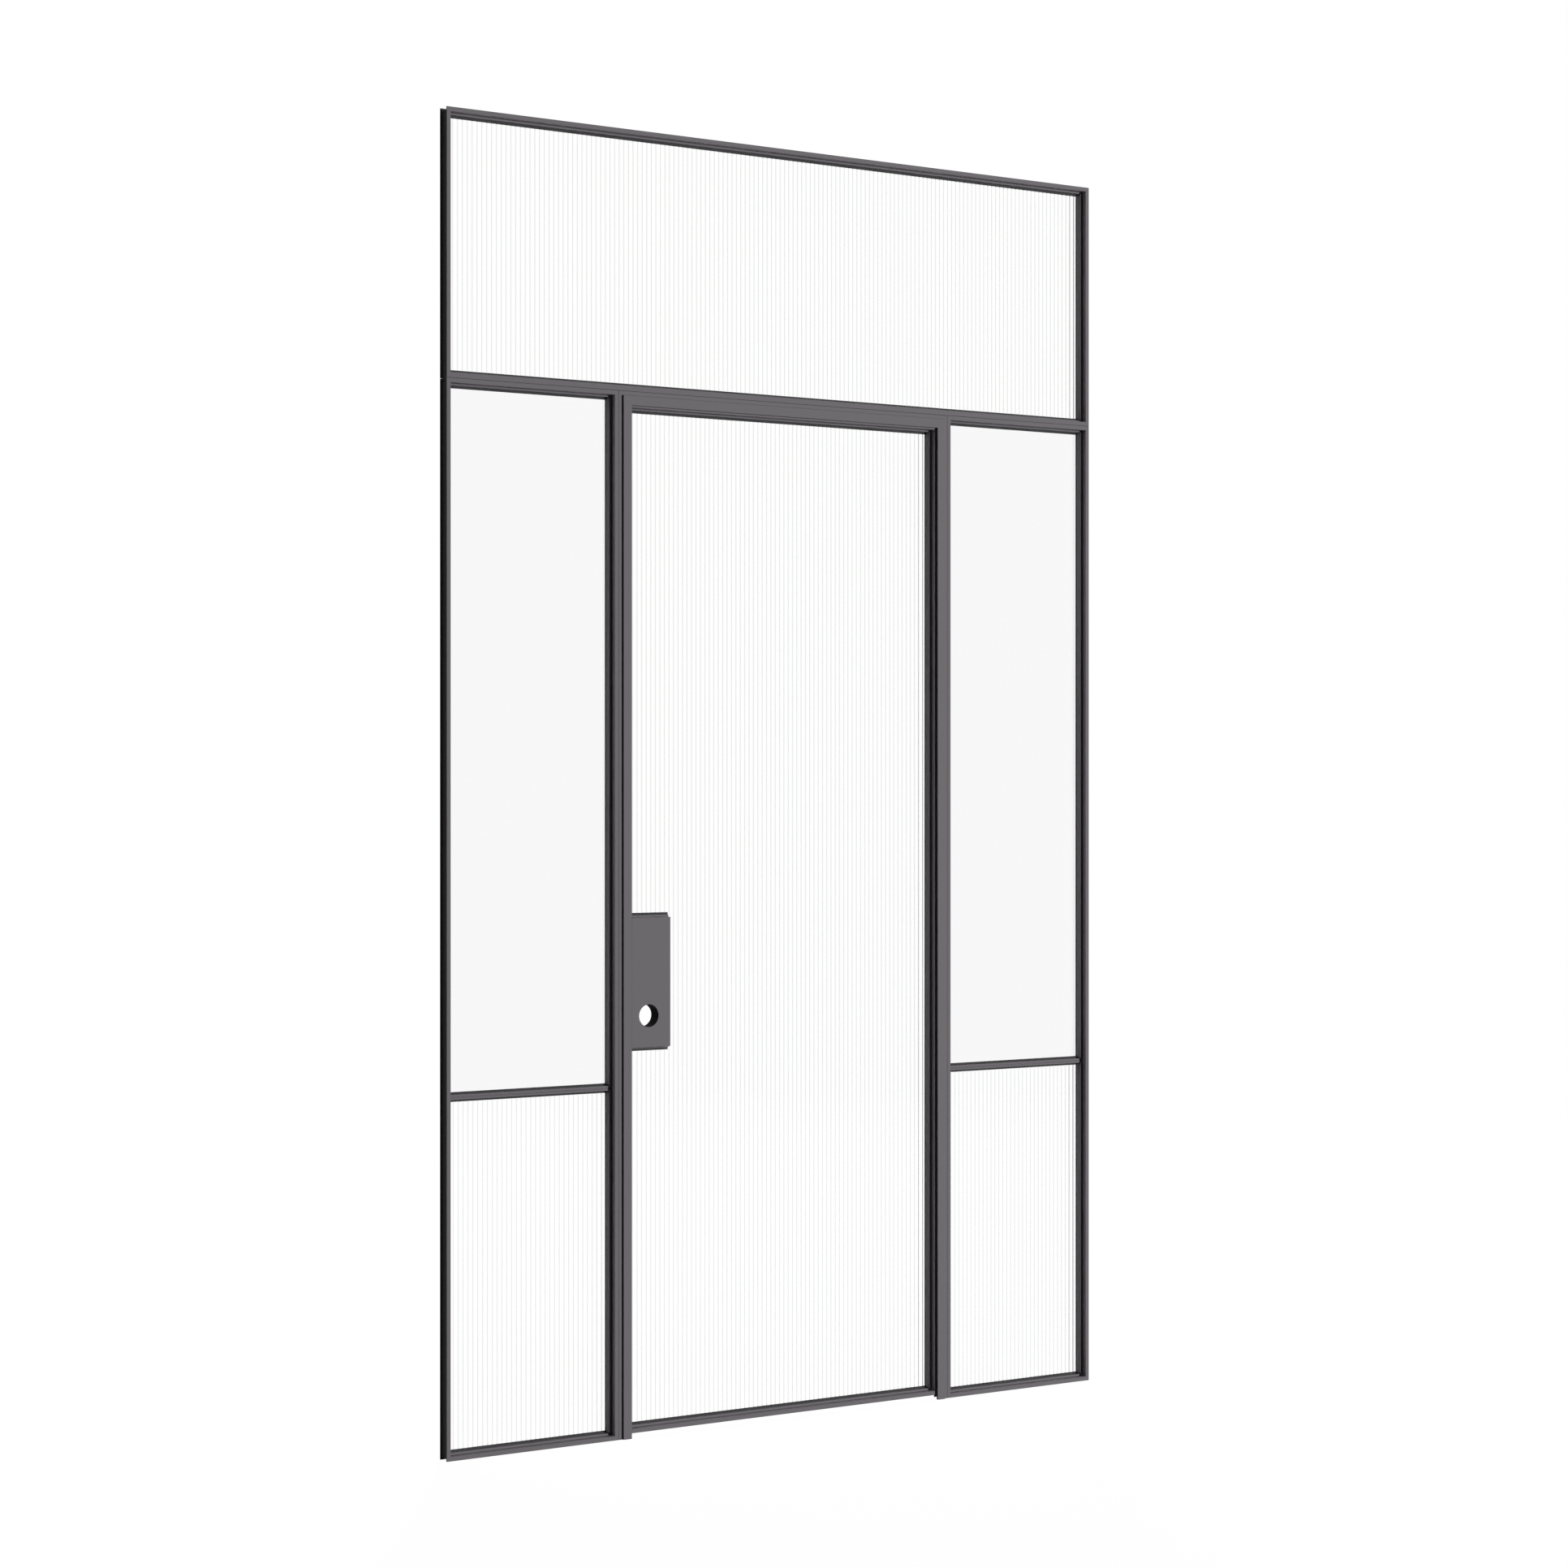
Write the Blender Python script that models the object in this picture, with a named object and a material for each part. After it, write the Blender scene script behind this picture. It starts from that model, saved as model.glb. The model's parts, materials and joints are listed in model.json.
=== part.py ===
"""Glazed interior door screen: a door leaf between two sidelights, under a full-width toplight.

Each unit is a slim metal frame mitred at its corners, with glazing beads set deep in a recess.
The door leaf stands behind a proud stop on the door frame and swings away from the front.
Local layout: u runs right from the screen's left edge, v runs back from its front face, z is up.
Run with: blender --background --python part.py
"""

import math

import bmesh
import bpy
from mathutils import Vector

# Screen and its units
SCREEN_HEIGHT = 3.000
TOPLIGHT_HEIGHT = 0.600
SIDELIGHT_WIDTH = 0.444
DOOR_UNIT_WIDTH = 0.936
SCREEN_DEPTH = 0.032
UNIT_GAP = 0.0006  # hairline between neighbouring units
SEAT_GAP = 0.0003  # hairline between pieces that rest on each other

# Frame section: an outward-open channel with a thin front flange and a wider back flange
FLANGE_WIDTH = 0.010
FLANGE_THICKNESS = 0.0025
WEB_INSET = 0.005
BACK_FLANGE_WIDTH = 0.017
BACK_FLANGE_THICKNESS = 0.002

# Glazing
BEAD_SETBACK = 0.016
BEAD_FACE_WIDTH = 0.0045
BEAD_REACH = 0.009
GASKET_HEIGHT = 0.002
GASKET_SEAT_WIDTH = 0.0016
GLASS_THICKNESS = 0.004
GLASS_EDGE_GAP = 0.003
REED_PITCH = 0.01236
REED_DEPTH = 0.0014

# Glazing bar of the sidelights
BAR_CENTRE_HEIGHT = 0.8038
BAR_WEB_THICKNESS = 0.002
BAR_BACK_WIDTH = 0.017

# Stop around the door opening
STOP_PROUD = 0.005
STOP_WIDTH = 0.022
STOP_THICKNESS = 0.002
STOP_LEG_DEPTH = 0.015

# Door leaf
LEAF_EDGE_INSET = 0.0265
LEAF_FLOOR_GAP = 0.011
LEAF_STOP_CLEARANCE = 0.0053

# Lock case set flush in the leaf, with a round grip hole right through it
LOCK_CENTRE_HEIGHT = 1.044
LOCK_CASE_WIDTH = 0.104
LOCK_CASE_HEIGHT = 0.2983
GRIP_HOLE_DIAMETER = 0.0525
GRIP_HOLE_BACKSET = 0.0555
GRIP_HOLE_DROP = 0.077

# Barrel hinges on the back of the door frame
HINGE_LENGTH = 0.100
HINGE_END_DISTANCE = 0.200
HINGE_AXIS_INSET = 0.022
HINGE_PLATE_WIDTH = 0.018
HINGE_PLATE_THICKNESS = 0.002
BARREL_RADIUS = 0.0045
PIN_RADIUS = 0.0022
PIN_CLEARANCE = 0.0004
KNUCKLE_GAP = 0.0006

# Facets of round forms
HOLE_SEGMENTS = 64
BARREL_SEGMENTS = 28
PIN_SEGMENTS = 20
REED_SEGMENTS = 4

# Depths behind the front of a frame, the same for the fixed frames and the leaf
BACK_FLANGE_FRONT = SCREEN_DEPTH - BACK_FLANGE_THICKNESS
GLASS_BACK = BACK_FLANGE_FRONT - SEAT_GAP
GLASS_FRONT = GLASS_BACK - GLASS_THICKNESS
BEAD_BACK = GLASS_FRONT - SEAT_GAP

# Depths behind the front of the screen
STOP_BACK = STOP_THICKNESS - STOP_PROUD
LEAF_FRONT = STOP_BACK + LEAF_STOP_CLEARANCE
LEAF_BACK = LEAF_FRONT + SCREEN_DEPTH

# Outlines of the units as (u0, u1, z0, z1)
HALF_UNIT_GAP = UNIT_GAP / 2
DOOR_TOP = SCREEN_HEIGHT - TOPLIGHT_HEIGHT
SCREEN_WIDTH = 2 * SIDELIGHT_WIDTH + DOOR_UNIT_WIDTH
DOOR_LEFT = SIDELIGHT_WIDTH
DOOR_RIGHT = SIDELIGHT_WIDTH + DOOR_UNIT_WIDTH
TOPLIGHT = (0.0, SCREEN_WIDTH, DOOR_TOP + HALF_UNIT_GAP, SCREEN_HEIGHT)
LEFT_SIDELIGHT = (0.0, DOOR_LEFT - HALF_UNIT_GAP, 0.0, DOOR_TOP - HALF_UNIT_GAP)
RIGHT_SIDELIGHT = (DOOR_RIGHT + HALF_UNIT_GAP, SCREEN_WIDTH, 0.0, DOOR_TOP - HALF_UNIT_GAP)
DOOR_FRAME = (DOOR_LEFT + HALF_UNIT_GAP, DOOR_RIGHT - HALF_UNIT_GAP, 0.0, DOOR_TOP - HALF_UNIT_GAP)
LEAF = (
    DOOR_LEFT + LEAF_EDGE_INSET,
    DOOR_RIGHT - LEAF_EDGE_INSET,
    LEAF_FLOOR_GAP,
    DOOR_TOP - LEAF_EDGE_INSET,
)

# The screen's origin: the foot of the hinge jamb, in the middle of its solid web
WEB_THICKNESS = FLANGE_WIDTH - WEB_INSET
ORIGIN = Vector((DOOR_FRAME[1] - WEB_INSET - WEB_THICKNESS / 2, SCREEN_DEPTH / 2, 0.0))
HINGE_AXIS_U = DOOR_RIGHT - HINGE_AXIS_INSET
HINGE_AXIS_V = LEAF_BACK + SEAT_GAP + BARREL_RADIUS


def clear_scene():
    for item in list(bpy.data.objects):
        bpy.data.objects.remove(item, do_unlink=True)


def make_material(name, colour, roughness, metallic=0.0, transmission=0.0):
    material = bpy.data.materials.new(name)
    material.use_nodes = True
    shader = material.node_tree.nodes["Principled BSDF"]
    shader.inputs["Base Color"].default_value = (*colour, 1.0)
    shader.inputs["Roughness"].default_value = roughness
    shader.inputs["Metallic"].default_value = metallic
    shader.inputs["Transmission Weight"].default_value = transmission
    return material


def add_object(name, mesh, material):
    item = bpy.data.objects.new(name, mesh)
    item.data.materials.append(material)
    bpy.context.scene.collection.objects.link(item)
    return item


def finish_mesh(name, bm):
    """Moves the local layout to the screen's origin and returns the mesh with its faces outwards."""
    bmesh.ops.translate(bm, verts=bm.verts, vec=-ORIGIN)
    bmesh.ops.recalc_face_normals(bm, faces=bm.faces)
    mesh = bpy.data.meshes.new(name)
    bm.to_mesh(mesh)
    bm.free()
    return mesh


def add_prism(bm, near_ring, far_ring):
    """A closed solid between two rings of points that match one to one."""
    near = [bm.verts.new(point) for point in near_ring]
    far = [bm.verts.new(point) for point in far_ring]
    count = len(near)
    for i in range(count):
        j = (i + 1) % count
        bm.faces.new((near[i], near[j], far[j], far[i]))
    bm.faces.new(list(reversed(near)))
    bm.faces.new(far)


def add_box(bm, u0, u1, v0, v1, z0, z1):
    ring = ((u0, v0), (u1, v0), (u1, v1), (u0, v1))
    add_prism(bm, [(u, v, z0) for u, v in ring], [(u, v, z1) for u, v in ring])


def add_side(bm, section, outline, side, start_mitre=1.0, end_mitre=1.0):
    """One bar along a side of a rectangle, from a section of (inset, depth) points.

    A mitre of 1 cuts the end at 45 degrees through the corner and 0 leaves it square.
    """
    u0, u1, z0, z1 = outline
    start, end = (z0, z1) if side in ("left", "right") else (u0, u1)
    start_gap = SEAT_GAP / 2 if start_mitre else 0.0
    end_gap = SEAT_GAP / 2 if end_mitre else 0.0

    def point(inset, depth, along):
        places = {
            "left": (u0 + inset, depth, along),
            "right": (u1 - inset, depth, along),
            "bottom": (along, depth, z0 + inset),
            "top": (along, depth, z1 - inset),
        }
        return places[side]

    near = [point(a, v, start + a * start_mitre + start_gap) for a, v in section]
    far = [point(a, v, end - a * end_mitre - end_gap) for a, v in section]
    add_prism(bm, near, far)


def side_object(name, section, outline, side, material, **ends):
    bm = bmesh.new()
    add_side(bm, section, outline, side, **ends)
    return add_object(name, finish_mesh(name, bm), material)


def move_back(section, depth):
    return tuple((a, v + depth) for a, v in section)


def frame_section():
    """Section of a frame member: front flange, web and back flange."""
    return (
        (0.0, 0.0),
        (FLANGE_WIDTH, 0.0),
        (FLANGE_WIDTH, BACK_FLANGE_FRONT),
        (BACK_FLANGE_WIDTH, BACK_FLANGE_FRONT),
        (BACK_FLANGE_WIDTH, SCREEN_DEPTH),
        (0.0, SCREEN_DEPTH),
        (0.0, BACK_FLANGE_FRONT),
        (WEB_INSET, BACK_FLANGE_FRONT),
        (WEB_INSET, FLANGE_THICKNESS),
        (0.0, FLANGE_THICKNESS),
    )


def bead_section():
    """Glazing bead: a narrow flat nose, a sloped side and a seat for the gasket on the glass."""
    slope_depth = BEAD_BACK - BEAD_SETBACK
    slope_share = 1 - GASKET_HEIGHT / slope_depth
    gasket_reach = BEAD_FACE_WIDTH + (BEAD_REACH - BEAD_FACE_WIDTH) * slope_share
    gasket_front = BEAD_BACK - GASKET_HEIGHT
    return (
        (SEAT_GAP, BEAD_SETBACK),
        (BEAD_FACE_WIDTH, BEAD_SETBACK),
        (gasket_reach, gasket_front),
        (gasket_reach - GASKET_SEAT_WIDTH, gasket_front),
        (gasket_reach - GASKET_SEAT_WIDTH, BEAD_BACK),
        (SEAT_GAP, BEAD_BACK),
    )


def stop_section():
    """Angle that stands proud of the frame, with a leg back along the jamb's inner wall."""
    leg_start = FLANGE_WIDTH + SEAT_GAP
    leg_end = leg_start + STOP_THICKNESS
    return (
        (FLANGE_WIDTH, -STOP_PROUD),
        (FLANGE_WIDTH + STOP_WIDTH, -STOP_PROUD),
        (FLANGE_WIDTH + STOP_WIDTH, STOP_BACK),
        (leg_end, STOP_BACK),
        (leg_end, STOP_LEG_DEPTH - STOP_PROUD),
        (leg_start, STOP_LEG_DEPTH - STOP_PROUD),
        (leg_start, STOP_BACK),
        (FLANGE_WIDTH, STOP_BACK),
    )


def inset_outline(outline, inset):
    u0, u1, z0, z1 = outline
    return (u0 + inset, u1 - inset, z0 + inset, z1 - inset)


def opening_corners(opening, notch=None):
    """Corners of a glazed opening, each with the way in from both of its sides.

    A notch of (u, z0, z1) is a block let in at the left side.
    """
    u0, u1, z0, z1 = opening
    corners = [(u0, z0, 1, 1), (u1, z0, -1, 1), (u1, z1, -1, -1), (u0, z1, 1, -1)]
    if notch is not None:
        end, low, high = notch
        corners += [(u0, high, 1, 1), (end, high, 1, 1), (end, low, 1, -1), (u0, low, 1, -1)]
    return corners


def make_bead_ring(name, opening, material, front=0.0, notch=None):
    """One bead swept round an opening with mitred corners."""
    section = move_back(bead_section(), front)
    bm = bmesh.new()
    rings = []
    for u, z, du, dz in opening_corners(opening, notch):
        rings.append([bm.verts.new((u + a * du, v, z + a * dz)) for a, v in section])
    count = len(section)
    for near, far in zip(rings, rings[1:] + rings[:1]):
        for i in range(count):
            j = (i + 1) % count
            bm.faces.new((near[i], far[i], far[j], near[j]))
    return add_object(name, finish_mesh(name, bm), material)


def make_pane(name, opening, material):
    u0, u1, z0, z1 = inset_outline(opening, GLASS_EDGE_GAP)
    bm = bmesh.new()
    add_box(bm, u0, u1, GLASS_FRONT, GLASS_BACK, z0, z1)
    return add_object(name, finish_mesh(name, bm), material)


def reeded_section(u0, u1, front):
    """Pane section with a flat front and round upright reeds on its back."""
    count = int((u1 - u0) / REED_PITCH)
    start = (u0 + u1 - count * REED_PITCH) / 2
    groove = front + GLASS_THICKNESS - REED_DEPTH
    radius = (REED_PITCH ** 2 / 4 + REED_DEPTH ** 2) / (2 * REED_DEPTH)
    points = [(u0, groove), (start, groove)]
    for i in range(count):
        crest = start + (i + 0.5) * REED_PITCH
        for k in range(1, REED_SEGMENTS + 1):
            offset = (k / REED_SEGMENTS - 0.5) * REED_PITCH
            rise = math.sqrt(radius ** 2 - offset ** 2) - (radius - REED_DEPTH)
            points.append((crest + offset, groove + rise))
    points += [(u1, groove), (u1, front), (u0, front)]
    return points


def make_reeded_pane(name, opening, material, front=0.0):
    u0, u1, z0, z1 = inset_outline(opening, GLASS_EDGE_GAP)
    section = reeded_section(u0, u1, GLASS_FRONT + front)
    bm = bmesh.new()
    add_prism(bm, [(u, v, z0) for u, v in section], [(u, v, z1) for u, v in section])
    return add_object(name, finish_mesh(name, bm), material)


def make_frame_sides(prefix, outline, parts, material, front=0.0):
    """Members of one mitred frame. Parts maps a side to the end of its name."""
    section = move_back(frame_section(), front)
    for side, part_name in parts.items():
        side_object(f"{prefix}_{part_name}", section, outline, side, material)


def make_toplight(metal, reeded):
    parts = {"top": "head_rail", "bottom": "bottom_rail", "left": "left_stile", "right": "right_stile"}
    make_frame_sides("toplight", TOPLIGHT, parts, metal)
    opening = inset_outline(TOPLIGHT, FLANGE_WIDTH)
    make_bead_ring("toplight_beads", opening, metal)
    make_reeded_pane("toplight_glass", opening, reeded)


def make_glazing_bar(name, opening, material):
    """Bar with a thin web between the panes and a flat flange behind them."""
    half_web = BAR_WEB_THICKNESS / 2
    half_back = BAR_BACK_WIDTH / 2
    section = (
        (-half_web, BEAD_SETBACK),
        (half_web, BEAD_SETBACK),
        (half_web, BACK_FLANGE_FRONT),
        (half_back, BACK_FLANGE_FRONT),
        (half_back, SCREEN_DEPTH),
        (-half_back, SCREEN_DEPTH),
        (-half_back, BACK_FLANGE_FRONT),
        (-half_web, BACK_FLANGE_FRONT),
    )
    u0, u1 = opening[0] + SEAT_GAP, opening[1] - SEAT_GAP
    bm = bmesh.new()
    near = [(u0, v, BAR_CENTRE_HEIGHT + z) for z, v in section]
    far = [(u1, v, BAR_CENTRE_HEIGHT + z) for z, v in section]
    add_prism(bm, near, far)
    bar = add_object(name, finish_mesh(name, bm), material)
    lap = BACK_FLANGE_WIDTH - FLANGE_WIDTH
    z0, z1 = BAR_CENTRE_HEIGHT - BAR_BACK_WIDTH, BAR_CENTRE_HEIGHT + BAR_BACK_WIDTH
    for end_name, end, inward in (("left", u0, lap), ("right", u1, -lap)):
        bm = bmesh.new()
        outer, inner = sorted((end - inward, end + inward))
        add_box(bm, outer, inner, BACK_FLANGE_FRONT - SEAT_GAP, 2 * SCREEN_DEPTH, z0, z1)
        add_boolean(bar, make_cutter(f"{name}_{end_name}_cutter", bm))
    return bar


def make_sidelight(prefix, outline, metal, clear, reeded):
    parts = {"left": "left_stile", "right": "right_stile", "top": "top_rail", "bottom": "bottom_rail"}
    make_frame_sides(prefix, outline, parts, metal)
    opening = inset_outline(outline, FLANGE_WIDTH)
    u0, u1, z0, z1 = opening
    make_glazing_bar(f"{prefix}_glazing_bar", opening, metal)
    half_web = BAR_WEB_THICKNESS / 2
    upper = (u0, u1, BAR_CENTRE_HEIGHT + half_web, z1)
    lower = (u0, u1, z0, BAR_CENTRE_HEIGHT - half_web)
    make_bead_ring(f"{prefix}_upper_beads", upper, metal)
    make_bead_ring(f"{prefix}_lower_beads", lower, metal)
    make_pane(f"{prefix}_upper_glass", upper, clear)
    make_reeded_pane(f"{prefix}_lower_glass", lower, reeded)


def make_door_frame(metal):
    """Two jambs and a head with no threshold, and the proud stop round their inside."""
    jamb = frame_section()
    stop = stop_section()
    for side, part_name in (("left", "lock_jamb"), ("right", "hinge_jamb")):
        side_object(f"door_frame_{part_name}", jamb, DOOR_FRAME, side, metal, start_mitre=0.0)
        side_object(f"door_stop_{part_name}", stop, DOOR_FRAME, side, metal, start_mitre=0.0)
    side_object("door_frame_head", jamb, DOOR_FRAME, "top", metal)
    side_object("door_stop_head", stop, DOOR_FRAME, "top", metal)


def round_cutter(name, u, z, radius):
    """Cylinder along the depth that cuts the grip hole."""
    bm = bmesh.new()
    turns = [2 * math.pi * i / HOLE_SEGMENTS for i in range(HOLE_SEGMENTS)]
    ring = [(u + radius * math.cos(t), z + radius * math.sin(t)) for t in turns]
    near = [(x, -SCREEN_DEPTH, y) for x, y in ring]
    far = [(x, 2 * SCREEN_DEPTH, y) for x, y in ring]
    add_prism(bm, near, far)
    return make_cutter(name, bm)


def make_cutter(name, bm):
    item = bpy.data.objects.new(name, finish_mesh(name, bm))
    bpy.context.scene.collection.objects.link(item)
    item.hide_render = True
    item.display_type = "WIRE"
    return item


def add_boolean(item, tool, operation="DIFFERENCE"):
    modifier = item.modifiers.new(f"{operation.lower()} {tool.name}", "BOOLEAN")
    modifier.operation = operation
    modifier.solver = "EXACT"
    modifier.object = tool


def lock_notch(extra=0.0):
    """The block that the lock case takes out of the leaf's opening, as (u, z0, z1)."""
    end = LEAF[0] + FLANGE_WIDTH + LOCK_CASE_WIDTH + extra
    half = LOCK_CASE_HEIGHT / 2 + extra
    return (end, LOCK_CENTRE_HEIGHT - half, LOCK_CENTRE_HEIGHT + half)


def make_lock(metal):
    """Lock case beside the leaf's stile between two cover plates. The back plate laps over the glass."""
    leaf_left = LEAF[0]
    end, z0, z1 = lock_notch()
    lap = BACK_FLANGE_WIDTH - FLANGE_WIDTH
    front_wall = leaf_left + FLANGE_WIDTH + SEAT_GAP
    back_wall = leaf_left + BACK_FLANGE_WIDTH + SEAT_GAP
    case_front = LEAF_FRONT + FLANGE_THICKNESS + SEAT_GAP
    case_back = LEAF_FRONT + BACK_FLANGE_FRONT - SEAT_GAP
    hole_height = LOCK_CENTRE_HEIGHT - GRIP_HOLE_DROP
    hole = round_cutter("lock_hole_cutter", leaf_left + GRIP_HOLE_BACKSET, hole_height, GRIP_HOLE_DIAMETER / 2)
    blocks = {
        "lock_cover_front": (front_wall, end, LEAF_FRONT, LEAF_FRONT + FLANGE_THICKNESS, z0, z1),
        "lock_case": (front_wall, end, case_front, case_back, z0, z1),
        "lock_cover_back": (
            back_wall,
            end + lap,
            LEAF_FRONT + BACK_FLANGE_FRONT,
            LEAF_BACK,
            z0 - lap,
            z1 + lap,
        ),
    }
    for name, block in blocks.items():
        bm = bmesh.new()
        add_box(bm, *block)
        add_boolean(add_object(name, finish_mesh(name, bm), metal), hole)


def make_leaf(metal, reeded):
    parts = {"left": "lock_stile", "right": "hinge_stile", "top": "top_rail", "bottom": "bottom_rail"}
    make_frame_sides("leaf", LEAF, parts, metal, front=LEAF_FRONT)
    opening = inset_outline(LEAF, FLANGE_WIDTH)
    make_lock(metal)
    make_bead_ring("leaf_beads", opening, metal, front=LEAF_FRONT, notch=lock_notch())
    pane = make_reeded_pane("leaf_glass", opening, reeded, front=LEAF_FRONT)
    end, z0, z1 = lock_notch(GLASS_EDGE_GAP)
    bm = bmesh.new()
    add_box(bm, LEAF[0], end, LEAF_FRONT, LEAF_BACK, z0, z1)
    add_boolean(pane, make_cutter("leaf_notch_cutter", bm))


def hinge_outline(direction, seat):
    """Outline of a hinge plate with its knuckle rolled off the end, about the pin.

    direction is +1 for a plate that points right of the pin and -1 for one that points left.
    seat is the depth of the face that the plate is fixed to.
    """
    tip = direction * HINGE_PLATE_WIDTH
    plate_front = seat + SEAT_GAP - HINGE_AXIS_V
    plate_back = HINGE_PLATE_THICKNESS - BARREL_RADIUS
    meet = math.pi + math.acos(plate_back / BARREL_RADIUS)
    points = [(tip, plate_front)]
    if plate_front < -BARREL_RADIUS:
        points.append((0.0, plate_front))
    for i in range(BARREL_SEGMENTS + 1):
        turn = meet * i / BARREL_SEGMENTS
        points.append((-direction * BARREL_RADIUS * math.sin(turn), -BARREL_RADIUS * math.cos(turn)))
    points.append((tip, plate_back))
    return [(HINGE_AXIS_U + u, HINGE_AXIS_V + v) for u, v in points]


def knuckle_cutter(name, direction, z0, z1):
    """Box that clears one length of the barrel and leaves the plate beyond it."""
    reach = 2 * BARREL_RADIUS
    plate_edge = BARREL_RADIUS + KNUCKLE_GAP
    u_near = HINGE_AXIS_U - direction * reach
    u_far = HINGE_AXIS_U + direction * plate_edge
    bm = bmesh.new()
    v0, v1 = HINGE_AXIS_V - reach, HINGE_AXIS_V + reach
    add_box(bm, min(u_near, u_far), max(u_near, u_far), v0, v1, z0, z1)
    return make_cutter(name, bm)


def pin_mesh(name, radius, z0, z1):
    bm = bmesh.new()
    turns = [2 * math.pi * i / PIN_SEGMENTS for i in range(PIN_SEGMENTS)]
    ring = [(HINGE_AXIS_U + radius * math.cos(t), HINGE_AXIS_V + radius * math.sin(t)) for t in turns]
    add_prism(bm, [(u, v, z0) for u, v in ring], [(u, v, z1) for u, v in ring])
    return make_cutter(name, bm)


def make_hinge_half(name, direction, seat, z0, z1, steel):
    bm = bmesh.new()
    outline = hinge_outline(direction, seat)
    add_prism(bm, [(u, v, z0) for u, v in outline], [(u, v, z1) for u, v in outline])
    half = add_object(name, finish_mesh(name, bm), steel)
    half.data.shade_smooth()
    half.data.set_sharp_from_angle(angle=math.radians(40))
    return half


def make_hinge(prefix, centre, steel):
    """The frame half keeps the pin and the outer knuckles, and the leaf half has the middle one.

    The frame's plate is packed out, because the leaf's back stands proud of the frame's.
    """
    z0, z1 = centre - HINGE_LENGTH / 2, centre + HINGE_LENGTH / 2
    third = HINGE_LENGTH / 3
    overrun = third / 2

    frame_half = make_hinge_half(f"{prefix}_frame_half", 1, SCREEN_DEPTH, z0, z1, steel)
    middle = (z0 + third - KNUCKLE_GAP / 2, z1 - third + KNUCKLE_GAP / 2)
    add_boolean(frame_half, knuckle_cutter(f"{prefix}_middle_cutter", 1, *middle))
    pin_end = third / 4
    pin = pin_mesh(f"{prefix}_pin_tool", PIN_RADIUS, z0 + pin_end, z1 - pin_end)
    add_boolean(frame_half, pin, "UNION")

    leaf_half = make_hinge_half(f"{prefix}_leaf_half", -1, LEAF_BACK, z0, z1, steel)
    lower = (z0 - overrun, z0 + third + KNUCKLE_GAP / 2)
    upper = (z1 - third - KNUCKLE_GAP / 2, z1 + overrun)
    add_boolean(leaf_half, knuckle_cutter(f"{prefix}_lower_cutter", -1, *lower))
    add_boolean(leaf_half, knuckle_cutter(f"{prefix}_upper_cutter", -1, *upper))
    bore = pin_mesh(f"{prefix}_bore_cutter", PIN_RADIUS + PIN_CLEARANCE, z0 - overrun, z1 + overrun)
    add_boolean(leaf_half, bore)


def parent_leaf_to_axis():
    """Everything that swings hangs from one empty on the hinge axis."""
    axis = bpy.data.objects.new("door_swing_axis", None)
    axis.location = Vector((HINGE_AXIS_U, HINGE_AXIS_V, 0.0)) - ORIGIN
    bpy.context.scene.collection.objects.link(axis)
    hinge_endings = ("_leaf_half", "_lower_cutter", "_upper_cutter", "_bore_cutter")
    for item in bpy.data.objects:
        if item.name.startswith(("leaf_", "lock_")) or item.name.endswith(hinge_endings):
            item.parent = axis
            item.matrix_parent_inverse.translation = -axis.location


def main():
    clear_scene()
    metal = make_material("grey_powder_coat", (0.15, 0.145, 0.15), 0.55)
    clear = make_material("clear_glass", (0.94, 0.96, 0.95), 0.02, transmission=1.0)
    reeded = make_material("reeded_glass", (0.90, 0.92, 0.92), 0.08, transmission=1.0)
    steel = make_material("coated_steel", (0.14, 0.135, 0.14), 0.45, metallic=0.3)

    make_toplight(metal, reeded)
    make_sidelight("left_sidelight", LEFT_SIDELIGHT, metal, clear, reeded)
    make_sidelight("right_sidelight", RIGHT_SIDELIGHT, metal, clear, reeded)
    make_door_frame(metal)
    make_leaf(metal, reeded)
    low = LEAF[2] + HINGE_END_DISTANCE
    high = LEAF[3] - HINGE_END_DISTANCE
    for prefix, centre in (("low_hinge", low), ("middle_hinge", (low + high) / 2), ("high_hinge", high)):
        make_hinge(prefix, centre, steel)
    parent_leaf_to_axis()


main()
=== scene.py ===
import json
import math

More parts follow.
